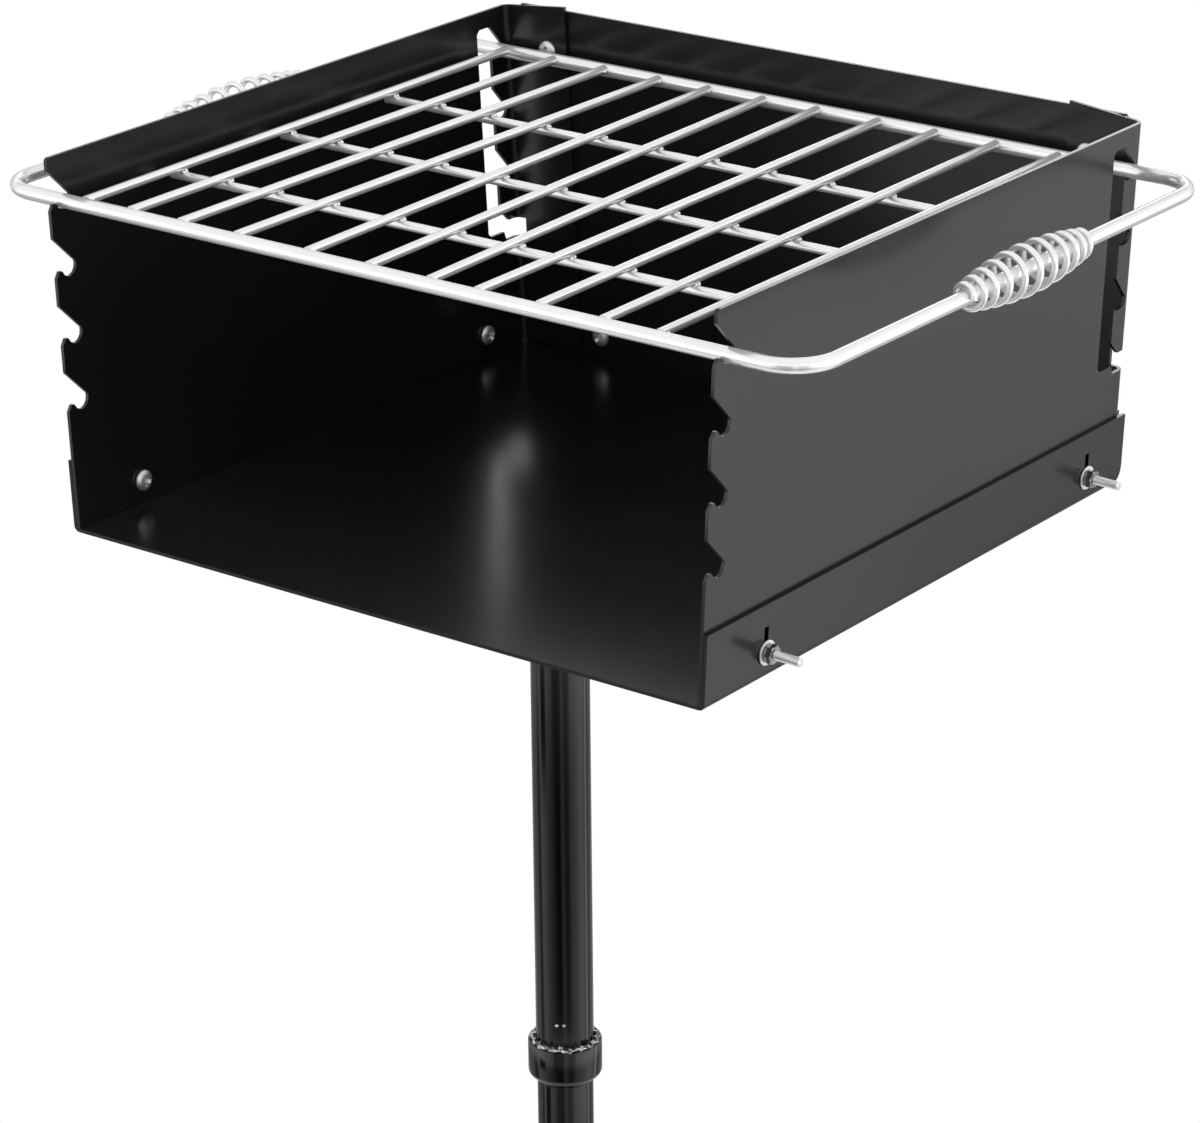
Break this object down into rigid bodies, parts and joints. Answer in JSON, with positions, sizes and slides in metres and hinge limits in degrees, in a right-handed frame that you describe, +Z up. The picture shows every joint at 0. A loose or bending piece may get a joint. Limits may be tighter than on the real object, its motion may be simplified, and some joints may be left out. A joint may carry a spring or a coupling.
{
  "type": "park charcoal grill",
  "caption": "Open-topped steel firebox on a ground post, with a wire cooking grate that hooks at several levels, coil handles and a swivelling post joint.",
  "frame": {"origin": "foot of the ground post, on its axis", "axes": "X to the right, Y to the rear, Z up along the post; the firebox opens towards -Y and +Z"},
  "size_m": [0.5386, 0.4096, 1.2744],
  "materials": {
    "black_coat": "semi-gloss black powder coat over sheet steel",
    "zinc_plate": "bright zinc plate",
    "grate_wire": "bright plated steel rod and wire"
  },
  "bodies": {
    "ground_post": {"lower_post": "black_coat"},
    "grill_head": {"post_plate": "black_coat", "upper_post": "black_coat", "plate_weld": "black_coat", "swivel_collar": "black_coat", "collar_weld": "black_coat", "post_spigot": "zinc_plate", "fire_pan": "black_coat", "left_side_panel": "black_coat", "right_side_panel": "black_coat", "back_panel": "black_coat", "left_front_pan_bolt": "zinc_plate", "left_front_pan_washer": "zinc_plate", "left_front_pan_nut": "zinc_plate", "left_rear_pan_bolt": "zinc_plate", "left_rear_pan_washer": "zinc_plate", "left_rear_pan_nut": "zinc_plate", "left_back_pan_bolt": "zinc_plate", "left_back_pan_washer": "zinc_plate", "left_back_pan_nut": "zinc_plate", "left_flange_bolt": "zinc_plate", "left_flange_washer": "zinc_plate", "left_flange_nut": "zinc_plate", "right_front_pan_bolt": "zinc_plate", "right_front_pan_washer": "zinc_plate", "right_front_pan_nut": "zinc_plate", "right_rear_pan_bolt": "zinc_plate", "right_rear_pan_washer": "zinc_plate", "right_rear_pan_nut": "zinc_plate", "right_back_pan_bolt": "zinc_plate", "right_back_pan_washer": "zinc_plate", "right_back_pan_nut": "zinc_plate", "right_flange_bolt": "zinc_plate", "right_flange_washer": "zinc_plate", "right_flange_nut": "zinc_plate"},
    "cooking_grate": {"grate_frame": "grate_wire", "grate_bar_1": "grate_wire", "grate_bar_2": "grate_wire", "grate_bar_3": "grate_wire", "grate_bar_4": "grate_wire", "grate_bar_5": "grate_wire", "grate_bar_6": "grate_wire", "grate_bar_7": "grate_wire", "grate_bar_8": "grate_wire", "grate_bar_9": "grate_wire", "grate_bar_10": "grate_wire", "grate_bar_11": "grate_wire", "front_cross_rod": "grate_wire", "middle_cross_rod": "grate_wire", "rear_cross_rod": "grate_wire"},
    "left_handle": {"left_handle_coil": "grate_wire"},
    "right_handle": {"right_handle_coil": "grate_wire"}
  },
  "joints": [
    {"name": "post_swivel", "type": "hinge", "parent": "ground_post", "child": "grill_head", "pos_m": [0, 0, 0.755], "axis": [0, 0, 1], "continuous": true},
    {"name": "grate_unhook", "type": "slide", "parent": "grill_head", "child": "cooking_grate", "axis": [0, -0.7071, 0.7071], "range_m": [0, 0.0145]},
    {"name": "left_handle_spin", "type": "hinge", "parent": "cooking_grate", "child": "left_handle", "pos_m": [-0.256, 0.0448, 1.2453], "axis": [0, 1, 0], "continuous": true},
    {"name": "right_handle_spin", "type": "hinge", "parent": "cooking_grate", "child": "right_handle", "pos_m": [0.256, 0.0448, 1.2453], "axis": [0, 1, 0], "continuous": true}
  ]
}
